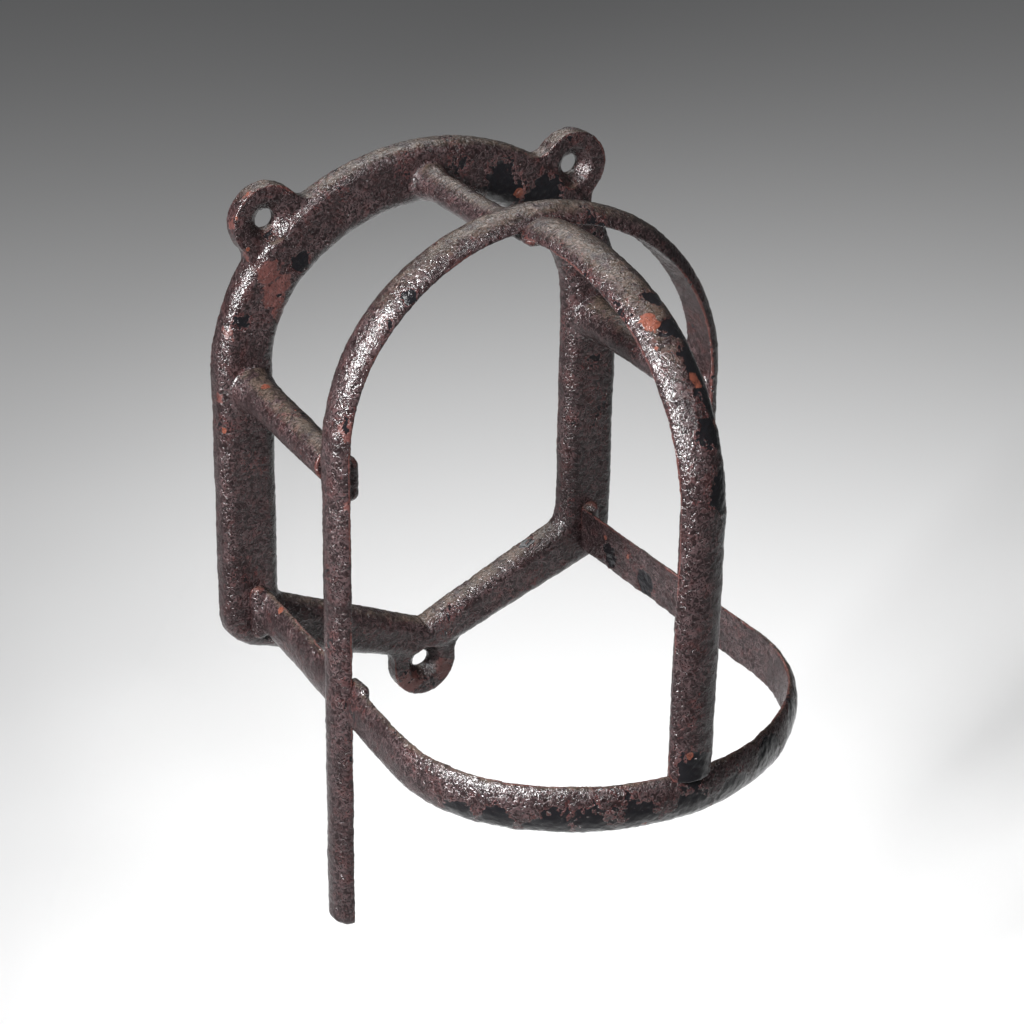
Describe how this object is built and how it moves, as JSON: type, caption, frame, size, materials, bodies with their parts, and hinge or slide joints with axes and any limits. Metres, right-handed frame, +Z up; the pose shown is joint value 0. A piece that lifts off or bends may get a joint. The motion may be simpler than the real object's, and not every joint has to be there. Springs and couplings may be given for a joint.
{
  "type": "wall rack for tack",
  "caption": "Painted iron wall rack: an arched ring frame with screw lugs, a hoop on struts with long legs, a curved horn and a level loop.",
  "frame": {"origin": "axis of the lower screw hole where it meets the wall", "axes": "+X to the viewer's right when facing the wall, +Y into the wall, +Z up; the rack stands out from the wall along -Y"},
  "size_m": [0.194, 0.217, 0.302],
  "materials": {
    "iron": "old black-brown paint, wrinkled and chipped"
  },
  "bodies": {
    "root": {"back_frame": "iron", "arch_hoop": "iron", "horn_bar": "iron", "loop_bar": "iron", "crown_strut": "iron", "left_strut": "iron", "right_strut": "iron", "left_arm_root": "iron", "right_arm_root": "iron", "left_strut_lump": "iron", "right_strut_lump": "iron", "left_arm_lump": "iron", "right_arm_lump": "iron", "crown_lump": "iron"}
  },
  "joints": []
}
